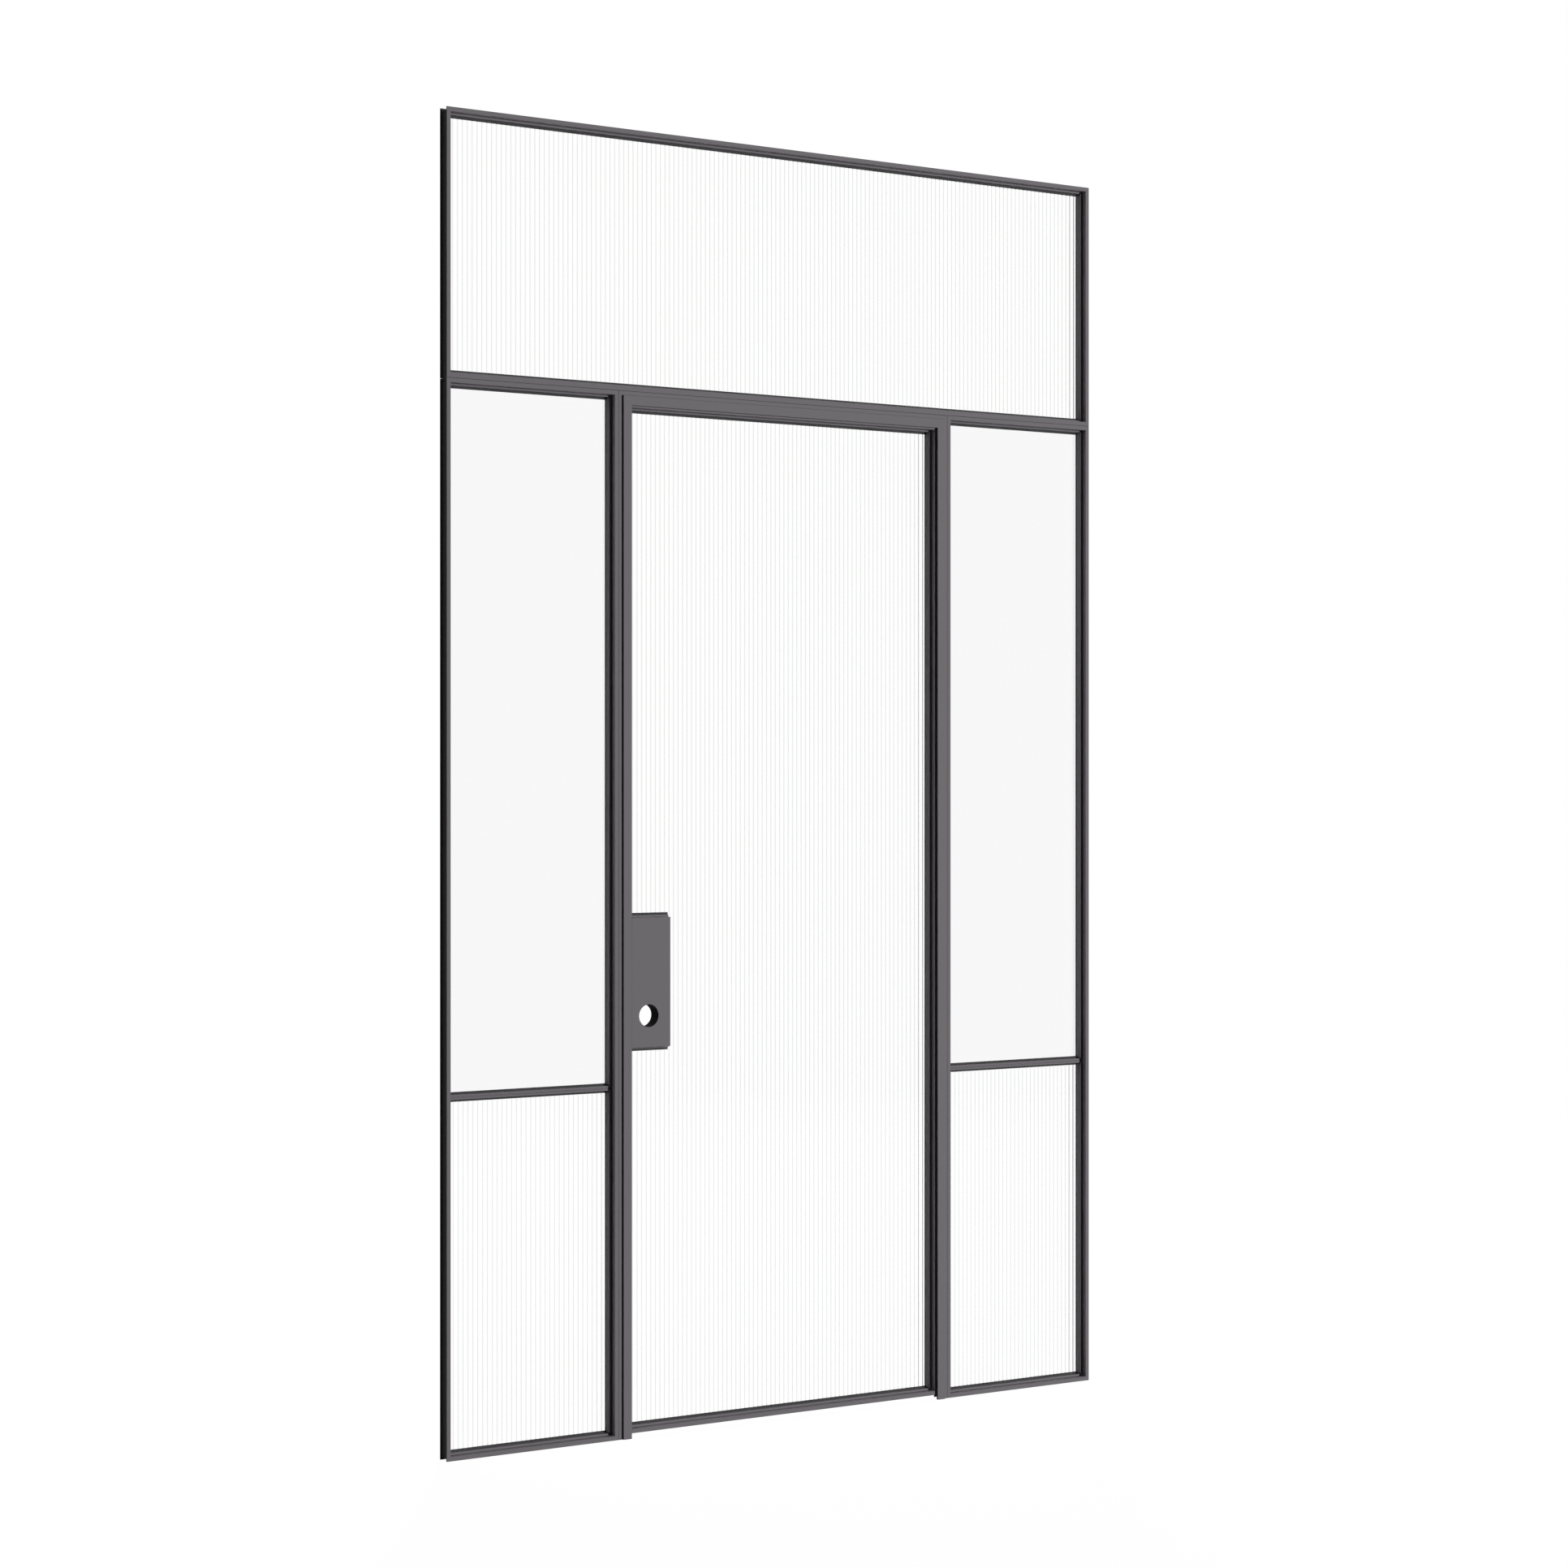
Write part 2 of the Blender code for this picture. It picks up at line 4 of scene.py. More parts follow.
import bmesh
import bpy
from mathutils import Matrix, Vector


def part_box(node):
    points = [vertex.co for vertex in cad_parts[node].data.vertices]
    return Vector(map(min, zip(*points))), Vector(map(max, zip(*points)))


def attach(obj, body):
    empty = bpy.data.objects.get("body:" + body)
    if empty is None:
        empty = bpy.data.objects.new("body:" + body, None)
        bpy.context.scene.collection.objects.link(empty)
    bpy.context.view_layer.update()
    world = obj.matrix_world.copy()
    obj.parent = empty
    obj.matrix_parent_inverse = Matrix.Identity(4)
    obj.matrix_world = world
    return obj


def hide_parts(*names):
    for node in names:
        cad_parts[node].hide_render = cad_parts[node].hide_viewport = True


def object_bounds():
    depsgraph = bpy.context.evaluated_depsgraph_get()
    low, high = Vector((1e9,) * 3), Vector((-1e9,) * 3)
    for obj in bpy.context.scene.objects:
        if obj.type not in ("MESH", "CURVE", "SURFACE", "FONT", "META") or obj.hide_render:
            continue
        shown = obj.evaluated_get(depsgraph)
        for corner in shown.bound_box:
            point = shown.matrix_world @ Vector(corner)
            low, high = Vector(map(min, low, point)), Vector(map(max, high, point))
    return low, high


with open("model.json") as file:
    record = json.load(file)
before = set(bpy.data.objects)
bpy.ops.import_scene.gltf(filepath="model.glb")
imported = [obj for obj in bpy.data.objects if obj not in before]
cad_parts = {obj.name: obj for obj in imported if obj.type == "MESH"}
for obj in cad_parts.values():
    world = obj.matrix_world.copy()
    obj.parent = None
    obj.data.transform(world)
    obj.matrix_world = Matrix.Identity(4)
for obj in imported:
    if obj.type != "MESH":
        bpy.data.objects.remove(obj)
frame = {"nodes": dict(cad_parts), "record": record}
nodes = frame["nodes"]
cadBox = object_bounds()
print("frame loaded:", len(nodes), "pieces")


def toLinear(hexColour):
    channels = [int(hexColour[i:i + 2], 16) / 255 for i in (1, 3, 5)]
    return [c / 12.92 if c <= 0.04045 else ((c + 0.055) / 1.055) ** 2.4 for c in channels] + [1.0]


def addNode(tree, kind, inputs=None, **settings):
    node = tree.nodes.new(kind)
    for name, value in settings.items():
        setattr(node, name, value)
    for name, value in (inputs or {}).items():
        if isinstance(value, bpy.types.NodeSocket):
            tree.links.new(value, node.inputs[name])
        else:
            node.inputs[name].default_value = value
    return node


def newMaterial(name):
    material = bpy.data.materials.new(name)
    material.use_nodes = True
    material.node_tree.nodes.clear()
    return material, material.node_tree


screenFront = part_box("toplight_left_stile")[0].y  # all sizes are in metres
hairline = 0.0003  # the small gap between a piece and the next
tolerance = 0.000001  # points closer than this are one point

# Polyester powder coat on aluminium, sprayed and baked: satin, with a very fine orange peel
coatLook = {
    "colour": "#6F6C6F",
    "lighter": "#726F72",
    "roughness": 0.62,
    "specular": 0.08,
    "peelSize": 0.0016,
    "peelDepth": 0.00002,
    "peelStrength": 0.5,
    "driftSize": 0.35,
}


def makePowderCoat():
    material, tree = newMaterial("powderCoatedAluminium")
    place = addNode(tree, "ShaderNodeTexCoord")
    drift = addNode(tree, "ShaderNodeTexNoise", {
        "Vector": place.outputs["Object"], "Scale": 1 / coatLook["driftSize"], "Detail": 2.0,
    })
    ramp = addNode(tree, "ShaderNodeValToRGB", {"Fac": drift.outputs["Fac"]})
    ramp.color_ramp.elements[0].color = toLinear(coatLook["colour"])
    ramp.color_ramp.elements[1].color = toLinear(coatLook["lighter"])
    peel = addNode(tree, "ShaderNodeTexNoise", {
        "Vector": place.outputs["Object"], "Scale": 1 / coatLook["peelSize"], "Detail": 1.0,
    })
    bump = addNode(tree, "ShaderNodeBump", {
        "Height": peel.outputs["Fac"],
        "Distance": coatLook["peelDepth"],
        "Strength": coatLook["peelStrength"],
    })
    coat = addNode(tree, "ShaderNodeBsdfPrincipled", {
        "Base Color": ramp.outputs["Color"],
        "Roughness": coatLook["roughness"],
        "Specular IOR Level": coatLook["specular"],
        "Normal": bump.outputs["Normal"],
    })
    addNode(tree, "ShaderNodeOutputMaterial", {"Surface": coat.outputs["BSDF"]})
    return material


# Clear float glass, almost without colour
clearLook = {"colour": "#F7F7F7", "ior": 1.52}


def makeClearGlass():
    material, tree = newMaterial("floatGlass")
    glass = addNode(tree, "ShaderNodeBsdfPrincipled", {
        "Base Color": toLinear(clearLook["colour"]),
        "Roughness": 0.0,
        "IOR": clearLook["ior"],
        "Transmission Weight": 1.0,
    })
    addNode(tree, "ShaderNodeOutputMaterial", {"Surface": glass.outputs["BSDF"]})
    return material


# Reeded glass, rolled while hot: round reeds on one face, clear and glossy
reededLook = {
    "colour": "#FFFFFF",
    "groove": "#D3D6D4",  # painted shade along each groove, standing in for the darker lines where the glass bends light most
    "flankShade": "#F9FAF9",
    "grooveWidth": 0.10,  # shares of one reed
    "flankWidth": 0.45,
    "ior": 1.52,
    "roughness": 0.0,
}


def makeReededGlass():
    material, tree = newMaterial("rolledReededGlass")
    place = addNode(tree, "ShaderNodeAttribute", attribute_name="reedPlace")
    share = addNode(tree, "ShaderNodeMath", {0: place.outputs["Fac"]}, operation="FRACT")
    # painted shade: the base colour is darker along each groove and a little darker on its flanks, for the
    # dark lines that the reeds' refraction makes
    paintedShadeBands = addNode(tree, "ShaderNodeValToRGB", {"Fac": share.outputs[0]})
    stops = paintedShadeBands.color_ramp.elements
    stops[0].position, stops[0].color = 0.0, toLinear(reededLook["groove"])
    stops[1].position, stops[1].color = 1.0, toLinear(reededLook["groove"])
    stops.new(reededLook["grooveWidth"]).color = toLinear(reededLook["flankShade"])
    stops.new(reededLook["flankWidth"]).color = toLinear(reededLook["colour"])
    stops.new(1 - reededLook["grooveWidth"]).color = toLinear(reededLook["colour"])
    glass = addNode(tree, "ShaderNodeBsdfPrincipled", {
        "Base Color": paintedShadeBands.outputs["Color"],
        "Roughness": reededLook["roughness"],
        "IOR": reededLook["ior"],
        "Transmission Weight": 1.0,
    })
    addNode(tree, "ShaderNodeOutputMaterial", {"Surface": glass.outputs["BSDF"]})
    return material


# Extruded EPDM rubber with a faint grain: grey beside the beads, black where it seals; the dark matt
# rubber of the lock's grip sleeve is painted shade
rubberLook = {
    "grey": "#403F41",
    "black": "#161617",
    # painted shade: the grip sleeve's dark colour and low sheen stand in for the shadow inside the hole
    "shadeSleeve": "#262527",
    "roughness": 0.75,
    "specular": 0.2,
    "shadeSleeveSpecular": 0.05,
    "grainSize": 0.0008,
    "grainDepth": 0.00003,
    "grainStrength": 0.6,
}


def makeRubber(name, colour, specular):
    material, tree = newMaterial(name)
    place = addNode(tree, "ShaderNodeTexCoord")
    grain = addNode(tree, "ShaderNodeTexNoise", {
        "Vector": place.outputs["Object"], "Scale": 1 / rubberLook["grainSize"], "Detail": 2.0,
    })
    bump = addNode(tree, "ShaderNodeBump", {
        "Height": grain.outputs["Fac"],
        "Distance": rubberLook["grainDepth"],
        "Strength": rubberLook["grainStrength"],
    })
    rubber = addNode(tree, "ShaderNodeBsdfPrincipled", {
        "Base Color": toLinear(colour),
        "Roughness": rubberLook["roughness"],
        "Specular IOR Level": specular,
        "Normal": bump.outputs["Normal"],
    })
    addNode(tree, "ShaderNodeOutputMaterial", {"Surface": rubber.outputs["BSDF"]})
    return material


# Stainless steel, turned and brushed: screw heads
steelLook = {"colour": "#A9A8A5", "roughness": 0.35, "roughnessSpread": 0.08, "brushSize": 0.0004}


def makeSteel():
    material, tree = newMaterial("brushedStainlessSteel")
    place = addNode(tree, "ShaderNodeTexCoord")
    brushed = addNode(tree, "ShaderNodeTexNoise", {
        "Vector": place.outputs["Object"], "Scale": 1 / steelLook["brushSize"], "Detail": 2.0,
    })
    rough = addNode(tree, "ShaderNodeMapRange", {
        "Value": brushed.outputs["Fac"],
        "To Min": steelLook["roughness"] - steelLook["roughnessSpread"],
        "To Max": steelLook["roughness"] + steelLook["roughnessSpread"],
    })
    steel = addNode(tree, "ShaderNodeBsdfPrincipled", {
        "Base Color": toLinear(steelLook["colour"]),
        "Metallic": 1.0,
        "Roughness": rough.outputs["Result"],
    })
    addNode(tree, "ShaderNodeOutputMaterial", {"Surface": steel.outputs["BSDF"]})
    return material


powderCoat = makePowderCoat()
floatGlass = makeClearGlass()
reededGlass = makeReededGlass()
greyRubber = makeRubber("greyEpdmRubber", rubberLook["grey"], rubberLook["specular"])
blackRubber = makeRubber("blackEpdmRubber", rubberLook["black"], rubberLook["specular"])
# painted shade for the wall of the grip hole
shadeSleeveRubber = makeRubber("paintedShadeSleeveRubber", rubberLook["shadeSleeve"], rubberLook["shadeSleeveSpecular"])
stainless = makeSteel()


def dress(node, material):
    node.data.materials.clear()
    node.data.materials.append(material)


# Cut edges, softened by the thickness of the coat
softEdges = {"width": 0.0003, "segments": 2, "angle": 30, "merge": 0.00001}


def roundEdges(node):
    merged = node.modifiers.new("merged", "WELD")  # the piece comes as loose triangles
    merged.merge_threshold = softEdges["merge"]
    edges = node.modifiers.new("edges", "BEVEL")
    edges.width = softEdges["width"]
    edges.segments = softEdges["segments"]
    edges.limit_method = "ANGLE"
    edges.angle_limit = math.radians(softEdges["angle"])
    edges.harden_normals = True


for name, node in nodes.items():
    if name.endswith("upper_glass"):
        dress(node, floatGlass)
    elif not name.endswith("glass"):
        dress(node, powderCoat)
        roundEdges(node)
print("materials made")


# Reeded panes: a slab whose back face is rolled into upright reeds
reedSizes = {
    "pitch": 0.01236,
    "depth": 0.00118,
    "segments": 10,  # facets across one reed
    "sharpAngle": 30,
    "nudge": 0.0001,  # share of a reed, so that a groove's points all count to the same reed
    "endSlack": 0.00001,  # a point this near an end is on it
    "glassGap": 0.003,  # between the pane and the lock
}


def makeReedTree():
    tree = bpy.data.node_groups.new("reededPane", "GeometryNodeTree")
    for name, kind in (
        ("Pane Width", "NodeSocketFloat"),
        ("Pane Height", "NodeSocketFloat"),
        ("Glass Thickness", "NodeSocketFloat"),
        ("Centre", "NodeSocketVector"),
        ("Reed Pitch", "NodeSocketFloat"),
        ("Reed Depth", "NodeSocketFloat"),
        ("Reed Count", "NodeSocketInt"),
        ("Facets Per Reed", "NodeSocketInt"),
        ("Material", "NodeSocketMaterial"),
    ):
        tree.interface.new_socket(name, in_out="INPUT", socket_type=kind)
    tree.interface.new_socket("Geometry", in_out="OUTPUT", socket_type="NodeSocketGeometry")
    given = addNode(tree, "NodeGroupInput").outputs

    def calc(operation, *values):
        return addNode(tree, "ShaderNodeMath", dict(enumerate(values)), operation=operation).outputs[0]

    def squared(value):
        return calc("MULTIPLY", value, value)

    reededWidth = calc("MULTIPLY", given["Reed Pitch"], given["Reed Count"])
    size = addNode(tree, "ShaderNodeCombineXYZ", {
        "X": reededWidth, "Y": given["Glass Thickness"], "Z": given["Pane Height"],
    })
    stations = calc("ADD", calc("MULTIPLY", given["Reed Count"], given["Facets Per Reed"]), 1.0)
    slab = addNode(tree, "GeometryNodeMeshCube", {
        "Size": size.outputs[0], "Vertices X": stations, "Vertices Y": 2, "Vertices Z": 2,
    })
    place = addNode(tree, "GeometryNodeInputPosition")
    axes = addNode(tree, "ShaderNodeSeparateXYZ", {0: place.outputs[0]}).outputs
    # Distance from the crest of the reed that the point lies on
    fromEdge = calc("ADD", axes["X"], calc("MULTIPLY", reededWidth, 0.5))
    reedNumber = calc("DIVIDE", fromEdge, given["Reed Pitch"])
    share = calc("FRACT", calc("ADD", reedNumber, reedSizes["nudge"]))
    offset = calc("MULTIPLY", calc("SUBTRACT", share, 0.5), given["Reed Pitch"])
    # Radius of the round reed from its pitch and depth
    halfPitch = calc("MULTIPLY", given["Reed Pitch"], 0.5)
    bothSquares = calc("ADD", squared(halfPitch), squared(given["Reed Depth"]))
    radius = calc("DIVIDE", bothSquares, calc("MULTIPLY", given["Reed Depth"], 2.0))
    height = calc("SQRT", calc("SUBTRACT", squared(radius), squared(offset)))
    drop = calc("SUBTRACT", height, radius)
    isBack = addNode(tree, "FunctionNodeCompare", {0: axes["Y"], 1: 0.0}, operation="GREATER_THAN")
    move = addNode(tree, "ShaderNodeCombineXYZ", {"Y": drop})
    reeds = addNode(tree, "GeometryNodeSetPosition", {
        "Geometry": slab.outputs["Mesh"], "Selection": isBack.outputs[0], "Offset": move.outputs[0],
    })
    # The two ends are drawn out to the pane's edges, under the beads
    margin = calc("MULTIPLY", calc("SUBTRACT", given["Pane Width"], reededWidth), 0.5)
    nearEnd = calc("SUBTRACT", calc("MULTIPLY", reededWidth, 0.5), reedSizes["endSlack"])
    isEnd = addNode(tree, "FunctionNodeCompare", {
        0: calc("ABSOLUTE", axes["X"]), 1: nearEnd,
    }, operation="GREATER_THAN")
    outward = addNode(tree, "ShaderNodeCombineXYZ", {
        "X": calc("MULTIPLY", calc("SIGN", axes["X"]), margin),
    })
    whole = addNode(tree, "GeometryNodeSetPosition", {
        "Geometry": reeds.outputs[0], "Selection": isEnd.outputs[0], "Offset": outward.outputs[0],
    })
    marked = addNode(tree, "GeometryNodeStoreNamedAttribute", {
        "Geometry": whole.outputs[0], "Name": "reedPlace", "Value": reedNumber,
    })
    placed = addNode(tree, "GeometryNodeTransform", {
        "Geometry": marked.outputs[0], "Translation": given["Centre"],
    })
    real = addNode(tree, "GeometryNodeRealizeInstances", {"Geometry": placed.outputs[0]})
    coloured = addNode(tree, "GeometryNodeSetMaterial", {
        "Geometry": real.outputs[0], "Material": given["Material"],
    })
    addNode(tree, "NodeGroupOutput", {"Geometry": coloured.outputs[0]})
    return tree


def growPiece(name, tree, values, source=None):
    # Runs a tree on an object and keeps the result as a plain mesh at the origin
    grower = bpy.data.objects.new(name + "Grower", source or bpy.data.meshes.new(name + "Seed"))
    bpy.context.scene.collection.objects.link(grower)
    modifier = grower.modifiers.new("grow", "NODES")
    modifier.node_group = tree
    for item in tree.interface.items_tree:
        if item.in_out == "INPUT" and item.name in values:
            modifier[item.identifier] = values[item.name]
    bpy.context.view_layer.update()
    view = bpy.context.evaluated_depsgraph_get()
    mesh = bpy.data.meshes.new_from_object(grower.evaluated_get(view))
    bpy.data.objects.remove(grower)
    mesh.name = name
    piece = bpy.data.objects.new(name, mesh)
    bpy.context.scene.collection.objects.link(piece)
    return piece


def notchPane(piece, right, bottom, top):
    # Clears the left edge for the lock along whole facets, so that the reeds beside it stay straight
    bm = bmesh.new()
    bm.from_mesh(piece.data)
    for level in (bottom, top):
        everything = bm.verts[:] + bm.edges[:] + bm.faces[:]
        bmesh.ops.bisect_plane(
            bm, geom=everything, dist=tolerance, plane_co=(0, 0, level), plane_no=(0, 0, 1),
        )
    side = min((v.co.x for v in bm.verts if v.co.x > right), default=right)
    middle = (min(v.co.y for v in bm.verts) + max(v.co.y for v in bm.verts)) / 2
    doomed = []
    for face in bm.faces:
        centre = face.calc_center_median()
        if centre.x < side - tolerance and bottom < centre.z < top:
            doomed.append(face)
    bmesh.ops.delete(bm, geom=doomed, context="FACES")
    corners = []
    for level in (bottom, top):
        near = [v for v in bm.verts if v.co.x < side + tolerance]
        rim = [v for v in near if abs(v.co.z - level) < 10 * tolerance]
        front = sorted((v for v in rim if v.co.y < middle), key=lambda v: v.co.x)
        back = sorted((v for v in rim if v.co.y >= middle), key=lambda v: -v.co.x)
        bm.faces.new(front + back)
        corners += [front[-1], back[0]]
    bm.faces.new((corners[0], corners[1], corners[3], corners[2]))
    bmesh.ops.recalc_face_normals(bm, faces=bm.faces)
    bm.to_mesh(piece.data)
    bm.free()


reedTree = makeReedTree()
lockLow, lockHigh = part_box("lock_case")
panes = {
    "toplightReededPane": ("toplight_glass", "frame"),
    "leftReededPane": ("left_sidelight_lower_glass", "frame"),
    "rightReededPane": ("right_sidelight_lower_glass", "frame"),
    "doorReededPane": ("leaf_glass", "leaf"),
}
for name, (node, body) in panes.items():
    lowest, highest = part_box(node)
    size = highest - lowest
    pane = growPiece(name, reedTree, {
        "Pane Width": size.x,
        "Pane Height": size.z,
        "Glass Thickness": size.y,
        "Centre": (lowest + highest) / 2,
        "Reed Pitch": reedSizes["pitch"],
        "Reed Depth": reedSizes["depth"],
        "Reed Count": int(size.x / reedSizes["pitch"]),
        "Facets Per Reed": reedSizes["segments"],
        "Material": reededGlass,
    })
    if body == "leaf":
        gap = reedSizes["glassGap"]
        notchPane(pane, lockHigh.x + gap, lockLow.z - gap, lockHigh.z + gap)
    pane.data.shade_smooth()
    pane.data.set_sharp_from_angle(angle=math.radians(reedSizes["sharpAngle"]))
    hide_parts(node)
    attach(pane, body)
print("reeded panes grown")


# Glazing beads round every opening: splayed on the uprights, square on the rails and round the lock.
# A grey gasket lies beside the level beads, and a black one behind the glass all round.
# Reach runs from the opening's edge towards its middle, depth from the front of the frame or leaf.
glazing = {
    "beadStart": 0.0003,
    "square": {"reach": 0.0045, "front": 0.0160, "foot": 0.0048},
    "splayed": {"reach": 0.0068, "front": 0.0126, "foot": 0.0088},
    "beadBack": 0.0254,
    "chamfer": 0.0003,
    "gasketStart": 0.0049,
    "gasketEnd": 0.0089,
    "gasketFront": 0.0245,
    "gasketLip": 0.0252,
    "gasketRound": 0.0006,
    "gasketDrop": 0.0002,
    "glassFront": 0.02565,
    "rearStart": 0.0071,  # just past the back flange's edge
    "rearEnd": 0.0100,
    "glassBack": 0.02975,
    "rearBack": 0.0316,
    "rearRound": 0.0006,
    "rearDrop": 0.0004,
}


def ringAt(bm, section, corner):
    # section is (reach, depth) pairs; a corner is (x, z, way in x, way in z)
    x, z, inX, inZ = corner
    return [bm.verts.new((x + reach * inX, depth, z + reach * inZ)) for reach, depth in section]


def joinRings(bm, near, far):
    count = len(near)
    for i in range(count):
        bm.faces.new((near[i], near[(i + 1) % count], far[(i + 1) % count], far[i]))


def finishPiece(name, bm, material):
    bmesh.ops.recalc_face_normals(bm, faces=bm.faces)
    mesh = bpy.data.meshes.new(name)
    bm.to_mesh(mesh)
    bm.free()
    mesh.materials.append(material)
    piece = bpy.data.objects.new(name, mesh)
    bpy.context.scene.collection.objects.link(piece)
    return piece


def sweep(name, section, corners, material, closed=True):
    bm = bmesh.new()
    rings = [ringAt(bm, section, corner) for corner in corners]
    for near, far in zip(rings, rings[1:]):
        joinRings(bm, near, far)
    if closed:
        joinRings(bm, rings[-1], rings[0])
    else:
        bm.faces.new(rings[0])
        bm.faces.new(reversed(rings[-1]))
    return finishPiece(name, bm, material)


def isLevel(start, end):
    return abs(start[0] - end[0]) > abs(start[1] - end[1])


def sweepFrame(name, sections, corners, material):
    # One closed ring with a section for each of its lengths
    bm = bmesh.new()
    runs = []
    for section, start, end in zip(sections, corners, corners[1:] + corners[:1]):
        runs.append((ringAt(bm, section, start), ringAt(bm, section, end)))
    for (near, far), (nextNear, _) in zip(runs, runs[1:] + runs[:1]):
        joinRings(bm, near, far)
        joinRings(bm, far, nextNear)
    bmesh.ops.remove_doubles(bm, verts=bm.verts, dist=tolerance)
    return finishPiece(name, bm, material)


def sweepRails(name, section, corners, material):
    # One closed strip along each level length
    bm = bmesh.new()
    for start, end in zip(corners, corners[1:] + corners[:1]):
        if isLevel(start, end):
            near, far = ringAt(bm, section, start), ringAt(bm, section, end)
            joinRings(bm, near, far)
            bm.faces.new(near)
            bm.faces.new(far)
    return finishPiece(name, bm, material)


def openingCorners(beads, notch):
    # The bead starts a hairline inside the opening's edge
    low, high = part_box(beads)
    x0, x1, z0, z1 = low.x - hairline, high.x + hairline, low.z - hairline, high.z + hairline
    corners = [(x0, z0, 1, 1), (x1, z0, -1, 1), (x1, z1, -1, -1), (x0, z1, 1, -1)]
    if notch:
        end, bottom, top = notch
        corners += [(x0, top, 1, 1), (end, top, 1, 1), (end, bottom, 1, -1), (x0, bottom, 1, -1)]
    return corners


def beadSection(front, bead):
    g = glazing
    return [
        (g["beadStart"], front + bead["front"]),
        (bead["reach"] - g["chamfer"], front + bead["front"]),
        (bead["reach"], front + bead["front"] + g["chamfer"]),
        (bead["foot"], front + g["beadBack"]),
        (g["beadStart"], front + g["beadBack"]),
    ]


def gasketSection(front):
    g = glazing
    return [
        (g["gasketStart"], front + g["gasketFront"]),
        (g["gasketEnd"] - g["gasketRound"], front + g["gasketLip"]),
        (g["gasketEnd"], front + g["gasketLip"] + g["gasketDrop"]),
        (g["gasketEnd"], front + g["glassFront"]),
        (g["gasketStart"], front + g["glassFront"]),
    ]


def rearSection(front):
    g = glazing
    return [
        (g["rearStart"], front + g["glassBack"]),
        (g["rearEnd"], front + g["glassBack"]),
        (g["rearEnd"] - g["rearRound"], front + g["rearBack"] - g["rearRound"]),
        (g["rearStart"] + g["rearRound"], front + g["rearBack"]),
        (g["rearStart"], front + g["rearBack"] - g["rearDrop"]),
    ]


def beadSections(front, corners, notch):
    # Splayed on the uprights, square on the rails and all round the lock
    sections = []
    for start, end in zip(corners, corners[1:] + corners[:1]):
        besideLock = bool(notch) and start[0] == end[0] == notch[0]
        kind = "square" if isLevel(start, end) or besideLock else "splayed"
        sections.append(beadSection(front, glazing[kind]))
    return sections


lockNotch = (lockHigh.x, lockLow.z, lockHigh.z)
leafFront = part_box("leaf_top_rail")[0].y
openings = {
    "toplight": ("toplight_beads", "frame", screenFront, None),
    "leftUpper": ("left_sidelight_upper_beads", "frame", screenFront, None),
    "leftLower": ("left_sidelight_lower_beads", "frame", screenFront, None),
    "rightUpper": ("right_sidelight_upper_beads", "frame", screenFront, None),
    "rightLower": ("right_sidelight_lower_beads", "frame", screenFront, None),
    "door": ("leaf_beads", "leaf", leafFront, lockNotch),
}
for name, (node, body, front, notch) in openings.items():
    corners = openingCorners(node, notch)
    bead = sweepFrame(name + "Beads", beadSections(front, corners, notch), corners, powderCoat)
    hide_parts(node)
    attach(bead, body)
    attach(sweepRails(name + "Gasket", gasketSection(front), corners, greyRubber), body)
    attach(sweep(name + "RearGasket", rearSection(front), corners, blackRubber), body)
print("beads and gaskets made")


# Dark rubber sleeve in the lock's grip hole: its dark matt colour is painted shade, standing in for the
# shadow on the hole's wall
gripShadeSleeve = {
    "holeRadius": 0.02625,
    "clearance": 0.00005,
    "wall": 0.0003,
    "endInset": 0.0003,
    "facets": 64,
    "sharpAngle": 40,
}
gripLow, gripHigh = [Vector(corner) for corner in frame["record"]["physics"]["openings"][0]["box_m"]]
gripX, gripZ = (gripLow.x + gripHigh.x) / 2, (gripLow.z + gripHigh.z) / 2
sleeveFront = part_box("lock_cover_front")[0].y + gripShadeSleeve["endInset"]
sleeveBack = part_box("lock_cover_back")[1].y - gripShadeSleeve["endInset"]
sleeveInside = gripShadeSleeve["clearance"] + gripShadeSleeve["wall"]
aroundHole = []
for i in range(gripShadeSleeve["facets"]):
    turn = math.tau * i / gripShadeSleeve["facets"]
    outX, outZ = math.cos(turn), math.sin(turn)
    x = gripX + gripShadeSleeve["holeRadius"] * outX
    z = gripZ + gripShadeSleeve["holeRadius"] * outZ
    aroundHole.append((x, z, -outX, -outZ))
shadeSleeve = sweep("gripShadeSleeve", [
    (gripShadeSleeve["clearance"], sleeveFront),
    (sleeveInside, sleeveFront),
    (sleeveInside, sleeveBack),
    (gripShadeSleeve["clearance"], sleeveBack),
], aroundHole, shadeSleeveRubber)
shadeSleeve.data.shade_smooth()
shadeSleeve.data.set_sharp_from_angle(angle=math.radians(gripShadeSleeve["sharpAngle"]))
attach(shadeSleeve, "leaf")
print("grip sleeve made")


# Frames are mitred, welded and ground flush before they are coated, so no mitre shows
cornerWeld = {
    "faceHalf": 0.00041,
    "neckHalf": 0.00010,
    "neck": 0.0003,  # depths from the ground face
    "root": 0.0018,
    "endInset": 0.0004,
    "frontWidth": 0.010,  # of the flanges that the mitre crosses
    "backWidth": 0.017,
    "stopWidth": 0.022,
}
fourSides = ("left_stile", "right_stile", "bottom_rail", "top_rail")
weldedFrames = {
    "toplight": ["toplight_" + side for side in ("left_stile", "right_stile", "bottom_rail", "head_rail")],
    "leftSidelight": ["left_sidelight_" + side for side in fourSides],
    "rightSidelight": ["right_sidelight_" + side for side in fourSides],
    "doorFrame": ["door_frame_lock_jamb", "door_frame_hinge_jamb", "door_frame_head"],
    "doorStop": ["door_stop_lock_jamb", "door_stop_hinge_jamb", "door_stop_head"],
    "leaf": ["leaf_lock_stile", "leaf_hinge_stile", "leaf_bottom_rail", "leaf_top_rail"],
}


